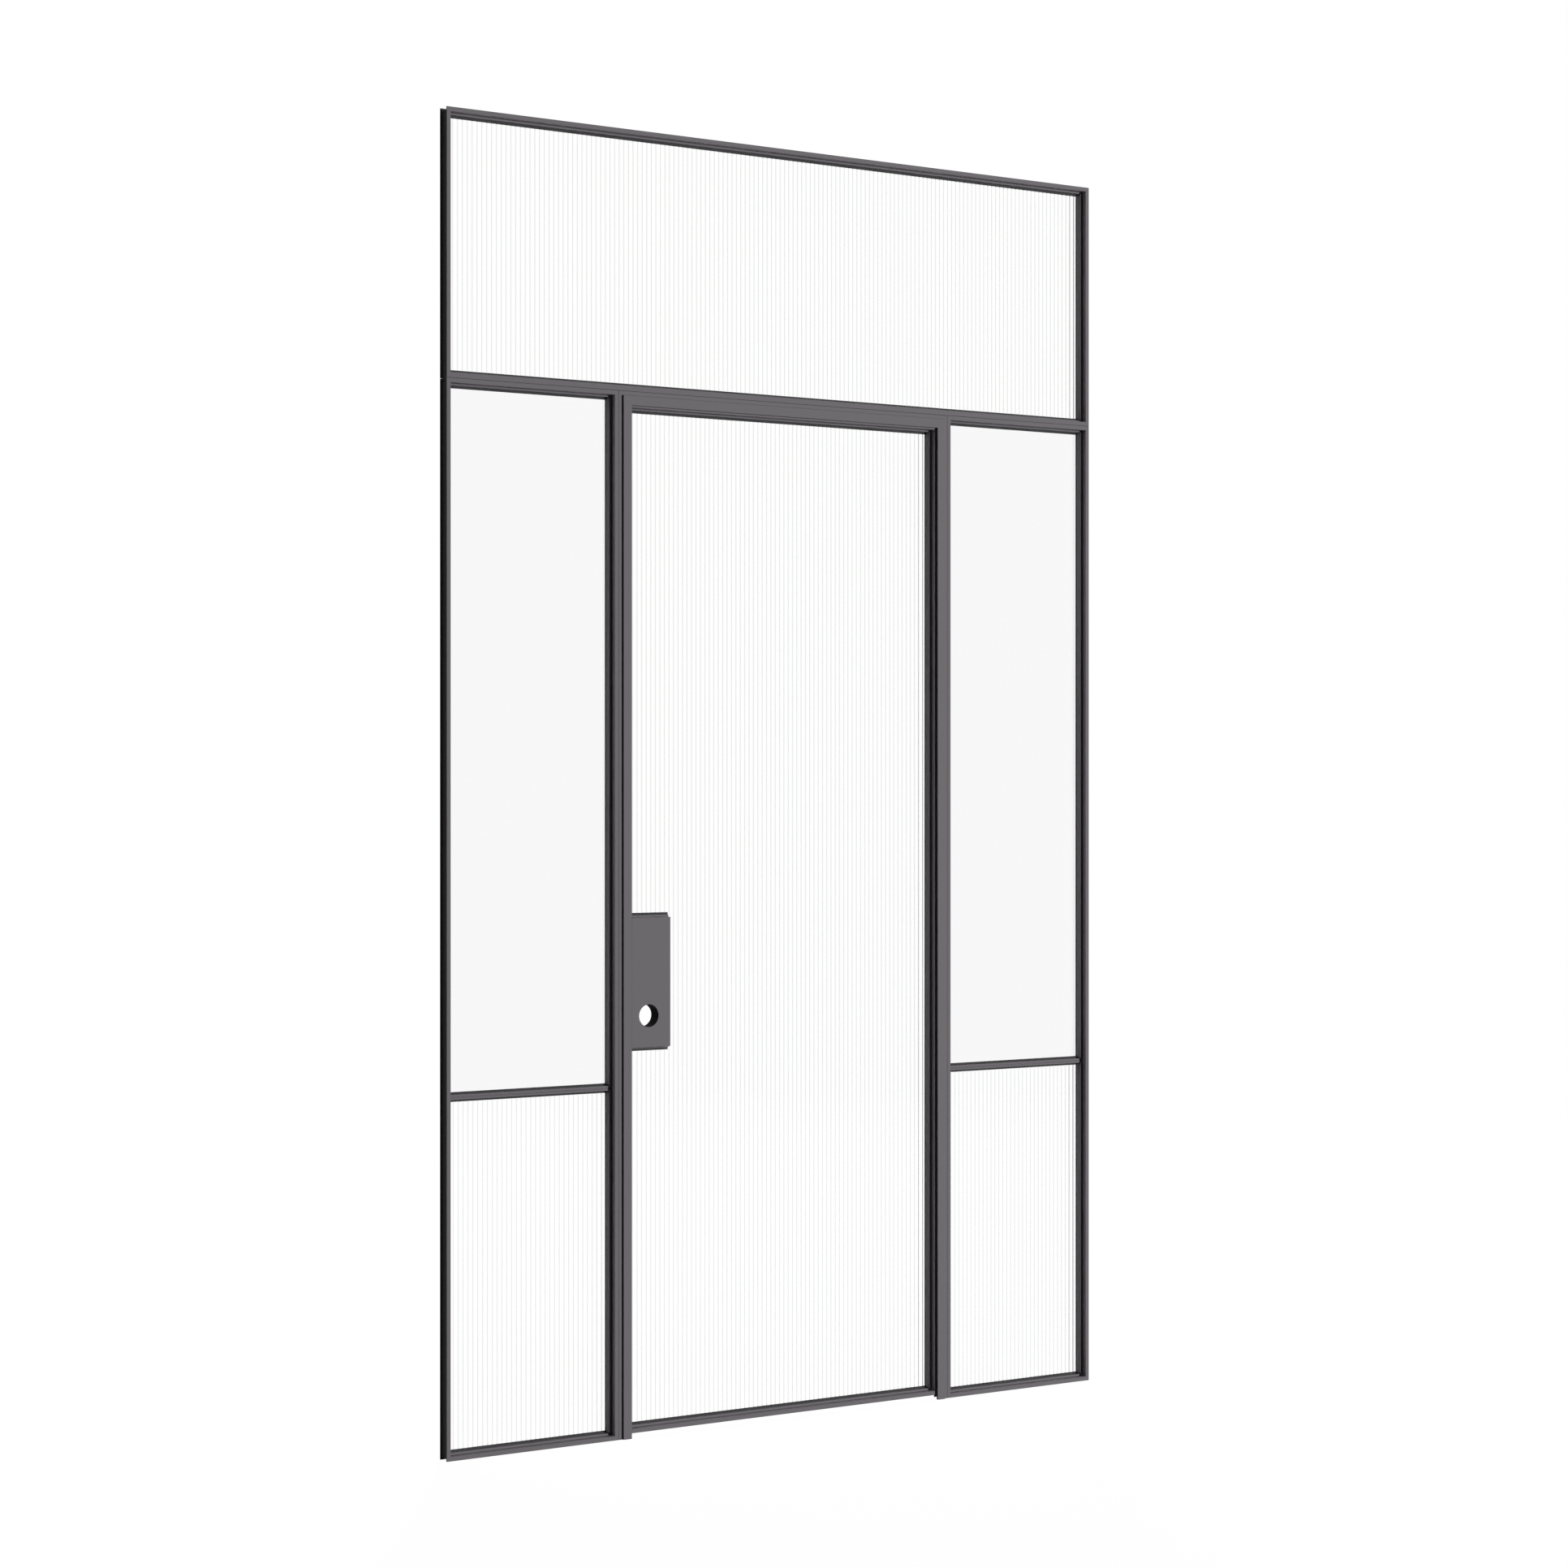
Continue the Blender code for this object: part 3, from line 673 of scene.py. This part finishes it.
def addWelds(bm, low, high, bottoms, width, face, inward):
    # One weld along the diagonal of each corner; inward is 1 where the metal lies behind the face, else -1
    w = cornerWeld
    outline = [(w["faceHalf"], 0.0), (w["neckHalf"], w["neck"]), (w["neckHalf"], w["root"])]
    section = [(half, face + inward * depth) for half, depth in outline]
    section += [(-half, depth) for half, depth in reversed(section)]
    slant = math.sqrt(0.5)
    levels = [(high.z, -1)] + ([(low.z, 1)] if bottoms else [])
    for level, up in levels:
        for side, right in ((low.x, 1), (high.x, -1)):
            near, far = [
                ringAt(bm, section, (side + along * right, level + along * up, slant * right, -slant * up))
                for along in (w["endInset"], width - w["endInset"])
            ]
            joinRings(bm, near, far)
            bm.faces.new(near)
            bm.faces.new(far)


welds = {"frame": bmesh.new(), "leaf": bmesh.new()}
for name, members in weldedFrames.items():
    boxes = [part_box(member) for member in members]
    low = Vector([min(box[0][i] for box in boxes) for i in range(3)])
    high = Vector([max(box[1][i] for box in boxes) for i in range(3)])
    bm = welds["leaf" if name == "leaf" else "frame"]
    if name == "doorStop":
        addWelds(bm, low, high, False, cornerWeld["stopWidth"], low.y, 1)
    else:
        bottoms = name != "doorFrame"
        addWelds(bm, low, high, bottoms, cornerWeld["frontWidth"], low.y, 1)
        addWelds(bm, low, high, bottoms, cornerWeld["backWidth"], high.y, -1)
for body, bm in welds.items():
    weld = finishPiece(body + "Welds", bm, powderCoat)
    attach(weld, body)
print("corner welds made")


# Black bulb seal on the back of the door stop
stopSeal = {
    "near": 0.0282,  # from the jamb's outer edge
    "far": 0.0315,
    "back": 0.0018,
    "seat": 0.0021,  # from the stop's front, past its plate
    "floorGap": 0.0005,
    "facets": 12,
    "sharpAngle": 40,
}


def sealSection(start):
    # A round bulb on a flat foot, from the stop's back to just short of the leaf
    centre = (stopSeal["near"] + stopSeal["far"]) / 2
    radius = (stopSeal["far"] - stopSeal["near"]) / 2
    bulbMiddle = screenFront + stopSeal["back"] - radius
    points = [(stopSeal["far"], start)]
    for i in range(stopSeal["facets"] + 1):
        turn = math.pi * i / stopSeal["facets"]
        points.append((centre + radius * math.cos(turn), bulbMiddle + radius * math.sin(turn)))
    points.append((stopSeal["near"], start))
    return points


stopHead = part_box("door_stop_head")
jambLow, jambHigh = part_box("door_frame_lock_jamb")[0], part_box("door_frame_hinge_jamb")[1]
sealStart = stopHead[0].y + stopSeal["seat"]
left, right, top, bottom = jambLow.x, jambHigh.x, jambHigh.z, stopSeal["floorGap"]
seal = sweep("doorStopSeal", sealSection(sealStart), [
    (left, bottom, 1, 0), (left, top, 1, -1), (right, top, -1, -1), (right, bottom, -1, 0),
], blackRubber, closed=False)
seal.data.shade_smooth()
seal.data.set_sharp_from_angle(angle=math.radians(stopSeal["sharpAngle"]))
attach(seal, "frame")
print("stop seal made")


# Black foam in the hollow joints between the toplight, the sidelights and the door frame
jointFoam = {"halfWidth": 0.0050, "front": 0.0027, "back": 0.0298, "endInset": 0.0040}


def addBlock(name, low, high):
    bm = bmesh.new()
    bmesh.ops.create_cube(bm, size=1.0)
    size = high - low
    for vert in bm.verts:
        vert.co = Vector([low[i] + (vert.co[i] + 0.5) * size[i] for i in range(3)])
    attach(finishPiece(name, bm, blackRubber), "frame")


headJoint = (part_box("toplight_bottom_rail")[0].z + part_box("door_frame_head")[1].z) / 2
sideJoints = {
    "left": (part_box("left_sidelight_right_stile")[1].x + jambLow.x) / 2,
    "right": (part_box("right_sidelight_left_stile")[0].x + jambHigh.x) / 2,
}
foamFront, foamBack = screenFront + jointFoam["front"], screenFront + jointFoam["back"]
half, inset = jointFoam["halfWidth"], jointFoam["endInset"]
addBlock(
    "headJointFoam",
    Vector((cadBox[0].x + inset, foamFront, headJoint - half)),
    Vector((cadBox[1].x - inset, foamBack, headJoint + half)),
)
for side, middle in sideJoints.items():
    addBlock(
        side + "JointFoam",
        Vector((middle - half, foamFront, inset)),
        Vector((middle + half, foamBack, headJoint - half - inset)),
    )

# Black sealant that closes each joint between the rounded edges of its two profiles
jointSealant = {
    "faceHalf": 0.00039,
    "neckHalf": 0.00028,
    "face": 0.00008,  # depths from the profiles' front
    "neck": 0.00032,
    "back": 0.0026,
}


def addSealant(name, ends, across):
    s = jointSealant
    outline = [(s["faceHalf"], s["face"]), (s["neckHalf"], s["neck"]), (s["neckHalf"], s["back"])]
    section = [(half, screenFront + depth) for half, depth in outline]
    section += [(-half, depth) for half, depth in reversed(section)]
    run = sweep(name, section, [end + across for end in ends], blackRubber, closed=False)
    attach(run, "frame")


sealantTop = headJoint - jointSealant["faceHalf"]
addSealant("headJointSealant", [
    (cadBox[0].x + hairline, headJoint), (cadBox[1].x - hairline, headJoint),
], (0, 1))
for side, middle in sideJoints.items():
    addSealant(side + "JointSealant", [(middle, hairline), (middle, sealantTop)], (1, 0))

# Thin black strip on top of the door stop, against the frame's head: painted shadow, standing in for the
# contact shade along the stop's top edge
stopShadeStrip = {"height": 0.00035, "inset": 0.0003}
addBlock(
    "stopHeadShadeStrip",
    Vector((stopHead[0].x + stopShadeStrip["inset"], stopHead[0].y + stopShadeStrip["inset"], stopHead[1].z)),
    Vector((stopHead[1].x - stopShadeStrip["inset"], screenFront, stopHead[1].z + stopShadeStrip["height"])),
)
print("joint foam, sealant and tape placed")


# Countersunk screws with a cross recess, on the hinge plates and the lock's back plate
screwSizes = {
    "headRadius": 0.0035,
    "topRadius": 0.0027,
    "headHeight": 0.0005,
    "crossLength": 0.0036,
    "crossWidth": 0.0008,
    "crossDepth": 0.0004,
    "headFacets": 20,
    "seed": 7,
    "plateBack": 0.0366,  # the hinge plates' back face, from the screen's front
    "hingeEnd": 0.0125,  # from the plate's end to the first screw
    "hingeEdge": 0.0066,  # from the plate's free edge
    "lockInset": 0.0100,
}


def makeScrewTree():
    tree = bpy.data.node_groups.new("screwHeads", "GeometryNodeTree")
    for name, kind in (
        ("Places", "NodeSocketGeometry"),
        ("Head Radius", "NodeSocketFloat"),
        ("Top Radius", "NodeSocketFloat"),
        ("Head Height", "NodeSocketFloat"),
        ("Cross Length", "NodeSocketFloat"),
        ("Cross Width", "NodeSocketFloat"),
        ("Cross Depth", "NodeSocketFloat"),
        ("Seed", "NodeSocketInt"),
        ("Material", "NodeSocketMaterial"),
    ):
        tree.interface.new_socket(name, in_out="INPUT", socket_type=kind)
    tree.interface.new_socket("Geometry", in_out="OUTPUT", socket_type="NodeSocketGeometry")
    given = addNode(tree, "NodeGroupInput").outputs
    head = addNode(tree, "GeometryNodeMeshCone", {
        "Vertices": screwSizes["headFacets"],
        "Radius Top": given["Top Radius"],
        "Radius Bottom": given["Head Radius"],
        "Depth": given["Head Height"],
    })
    twiceDeep = addNode(tree, "ShaderNodeMath", {0: given["Cross Depth"], 1: 2.0}, operation="MULTIPLY")
    bars = []
    for along, across in (("X", "Y"), ("Y", "X")):
        size = addNode(tree, "ShaderNodeCombineXYZ", {
            along: given["Cross Length"], across: given["Cross Width"], "Z": twiceDeep.outputs[0],
        })
        bar = addNode(tree, "GeometryNodeMeshCube", {"Size": size.outputs[0]})
        lift = addNode(tree, "ShaderNodeCombineXYZ", {"Z": given["Head Height"]})
        raised = addNode(tree, "GeometryNodeTransform", {
            "Geometry": bar.outputs["Mesh"], "Translation": lift.outputs[0],
        })
        bars.append(raised.outputs[0])
    recessed = head.outputs["Mesh"]
    for bar in bars:
        cut = addNode(tree, "GeometryNodeMeshBoolean", operation="DIFFERENCE", solver="EXACT")
        tree.links.new(recessed, cut.inputs["Mesh 1"])
        tree.links.new(bar, cut.inputs["Mesh 2"])
        recessed = cut.outputs["Mesh"]
    # Each screw was driven home to its own angle
    spin = addNode(tree, "FunctionNodeRandomValue", {
        "Max": math.tau, "Seed": given["Seed"],
    }, data_type="FLOAT")
    turn = addNode(tree, "ShaderNodeCombineXYZ", {"Z": spin.outputs["Value"]})
    toBack = addNode(tree, "FunctionNodeEulerToRotation", {"Euler": (math.radians(-90), 0, 0)})
    own = addNode(tree, "FunctionNodeEulerToRotation", {"Euler": turn.outputs[0]})
    facing = addNode(tree, "FunctionNodeRotateRotation", {
        "Rotation": toBack.outputs[0], "Rotate By": own.outputs[0],
    }, rotation_space="LOCAL")
    heads = addNode(tree, "GeometryNodeInstanceOnPoints", {
        "Points": given["Places"], "Instance": recessed, "Rotation": facing.outputs[0],
    })
    real = addNode(tree, "GeometryNodeRealizeInstances", {"Geometry": heads.outputs[0]})
    steel = addNode(tree, "GeometryNodeSetMaterial", {
        "Geometry": real.outputs[0], "Material": given["Material"],
    })
    addNode(tree, "NodeGroupOutput", {"Geometry": steel.outputs[0]})
    return tree


def hingeScrewPlaces(half, side):
    # side is -1 for a plate that points left of the pin and 1 for one that points right
    low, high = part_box(half)
    edge = low.x if side < 0 else high.x
    x = edge - side * screwSizes["hingeEdge"]
    face = screenFront + screwSizes["plateBack"]
    ends = (low.z + screwSizes["hingeEnd"], (low.z + high.z) / 2, high.z - screwSizes["hingeEnd"])
    return [(x, face, z) for z in ends]


def lockScrewPlaces():
    low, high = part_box("lock_cover_back")
    inset = screwSizes["lockInset"]
    columns, rows = (low.x + inset, high.x - inset), (low.z + inset, high.z - inset)
    return [(x, high.y, z) for x in columns for z in rows]


framePlaces, leafPlaces = [], lockScrewPlaces()
for level in ("high", "middle", "low"):
    framePlaces += hingeScrewPlaces(level + "_hinge_frame_half", 1)
    leafPlaces += hingeScrewPlaces(level + "_hinge_leaf_half", -1)
screwTree = makeScrewTree()
for name, places, body in (("frameScrews", framePlaces, "frame"), ("leafScrews", leafPlaces, "leaf")):
    points = bpy.data.meshes.new(name + "Places")
    points.from_pydata(places, [], [])
    screws = growPiece(name, screwTree, {
        "Head Radius": screwSizes["headRadius"],
        "Top Radius": screwSizes["topRadius"],
        "Head Height": screwSizes["headHeight"],
        "Cross Length": screwSizes["crossLength"],
        "Cross Width": screwSizes["crossWidth"],
        "Cross Depth": screwSizes["crossDepth"],
        "Seed": screwSizes["seed"],
        "Material": stainless,
    }, points)
    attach(screws, body)
print("screws placed:", len(framePlaces) + len(leafPlaces))


# Level camera, found from the photo's straight edges
viewpoint = {
    "x": -4.8891,
    "y": -6.5756,
    "height": 1.5,
    "turn": -33.95,
    "lens": 76.86,
    "sensor": 36,
    "farthest": 200,
}
camera = bpy.data.cameras.new("camera")
camera.lens = viewpoint["lens"]
camera.sensor_width = viewpoint["sensor"]
camera.clip_end = viewpoint["farthest"]
eye = bpy.data.objects.new("camera", camera)
eye.location = (viewpoint["x"], viewpoint["y"], viewpoint["height"])
eye.rotation_euler = (math.radians(90), 0, math.radians(viewpoint["turn"]))
bpy.context.scene.collection.objects.link(eye)
bpy.context.scene.camera = eye

# Angles are turned from straight in front towards the right; heights are those of the lamps' middles
lamps = {
    "keyStrip": {"distance": 20.0, "angle": 29, "width": 2.1, "tall": 7.0, "height": 2.6, "power": 4720},
    "backFill": {"distance": 12.0, "angle": 148, "width": 3.0, "tall": 3.0, "height": 5.5, "power": 1500},
}


def addLamp(name, setting):
    lamp = bpy.data.lights.new(name, "AREA")
    lamp.shape = "RECTANGLE"
    lamp.size, lamp.size_y = setting["width"], setting["tall"]
    lamp.energy = setting["power"]
    middle = (cadBox[0] + cadBox[1]) / 2
    turn = math.radians(setting["angle"])
    spot = bpy.data.objects.new(name, lamp)
    spot.location = middle + Vector((math.sin(turn), -math.cos(turn), 0)) * setting["distance"]
    spot.location.z = setting["height"]
    spot.rotation_mode = "QUATERNION"
    spot.rotation_quaternion = (middle - spot.location).to_track_quat("-Z", "Y")
    spot.visible_camera = False
    spot.visible_glossy = False  # no lamp shape in the glass
    spot.visible_transmission = False
    bpy.context.scene.collection.objects.link(spot)


for name, setting in lamps.items():
    addLamp(name, setting)

# White background in a dim room, over a floor that keeps the shadows and fades into the background
surroundings = {
    "room": 0.037,
    "glow": 0.97,  # of the floor beside the object
    "fadeFrom": 2.0,
    "fadeTo": 8.0,
    "floorColour": "#4C4C4C",
    "floorSize": 60,
}


def showsBackground(tree):
    # 1 for rays that should see the white background, 0 for rays that gather light
    path = addNode(tree, "ShaderNodeLightPath").outputs
    seen = path["Is Camera Ray"]
    for kind in ("Is Glossy Ray", "Is Transmission Ray"):
        seen = addNode(tree, "ShaderNodeMath", {0: seen, 1: path[kind]}, operation="MAXIMUM").outputs[0]
    return seen


def makeWorld():
    world = bpy.data.worlds.new("studio")
    world.use_nodes = True
    tree = world.node_tree
    tree.nodes.clear()
    level = addNode(tree, "ShaderNodeMapRange", {
        "Value": showsBackground(tree), "To Min": surroundings["room"], "To Max": 1.0,
    })
    back = addNode(tree, "ShaderNodeBackground", {
        "Color": (1, 1, 1, 1), "Strength": level.outputs["Result"],
    })
    addNode(tree, "ShaderNodeOutputWorld", {"Surface": back.outputs[0]})
    bpy.context.scene.world = world


makeWorld()


def makeFloor():
    material, tree = newMaterial("paleStudioFloor")
    plain = addNode(tree, "ShaderNodeBsdfDiffuse", {"Color": toLinear(surroundings["floorColour"])})
    place = addNode(tree, "ShaderNodeTexCoord")
    away = addNode(tree, "ShaderNodeVectorMath", {0: place.outputs["Object"]}, operation="LENGTH")
    far = addNode(tree, "ShaderNodeMapRange", {
        "Value": away.outputs["Value"],
        "From Min": surroundings["fadeFrom"],
        "From Max": surroundings["fadeTo"],
    })
    shows = showsBackground(tree)
    nearStrength = addNode(tree, "ShaderNodeMath", {
        0: shows, 1: surroundings["glow"],
    }, operation="MULTIPLY")
    nearGlow = addNode(tree, "ShaderNodeEmission", {"Strength": nearStrength.outputs[0]})
    near = addNode(tree, "ShaderNodeAddShader", {0: plain.outputs[0], 1: nearGlow.outputs[0]})
    farGlow = addNode(tree, "ShaderNodeEmission", {"Strength": shows})
    both = addNode(tree, "ShaderNodeMixShader", {
        0: far.outputs["Result"], 1: near.outputs[0], 2: farGlow.outputs[0],
    })
    addNode(tree, "ShaderNodeOutputMaterial", {"Surface": both.outputs[0]})
    half = surroundings["floorSize"] / 2
    mesh = bpy.data.meshes.new("floor")
    square = [(-half, -half, 0), (half, -half, 0), (half, half, 0), (-half, half, 0)]
    mesh.from_pydata(square, [], [(0, 1, 2, 3)])
    mesh.materials.append(material)
    floor = bpy.data.objects.new("floor", mesh)
    bpy.context.scene.collection.objects.link(floor)


makeFloor()
bpy.context.scene.view_settings.view_transform = "Standard"
bpy.context.scene.cycles.blur_glossy = 0.0  # so that light through the glass reaches the frames
print("camera, lamps and floor set")
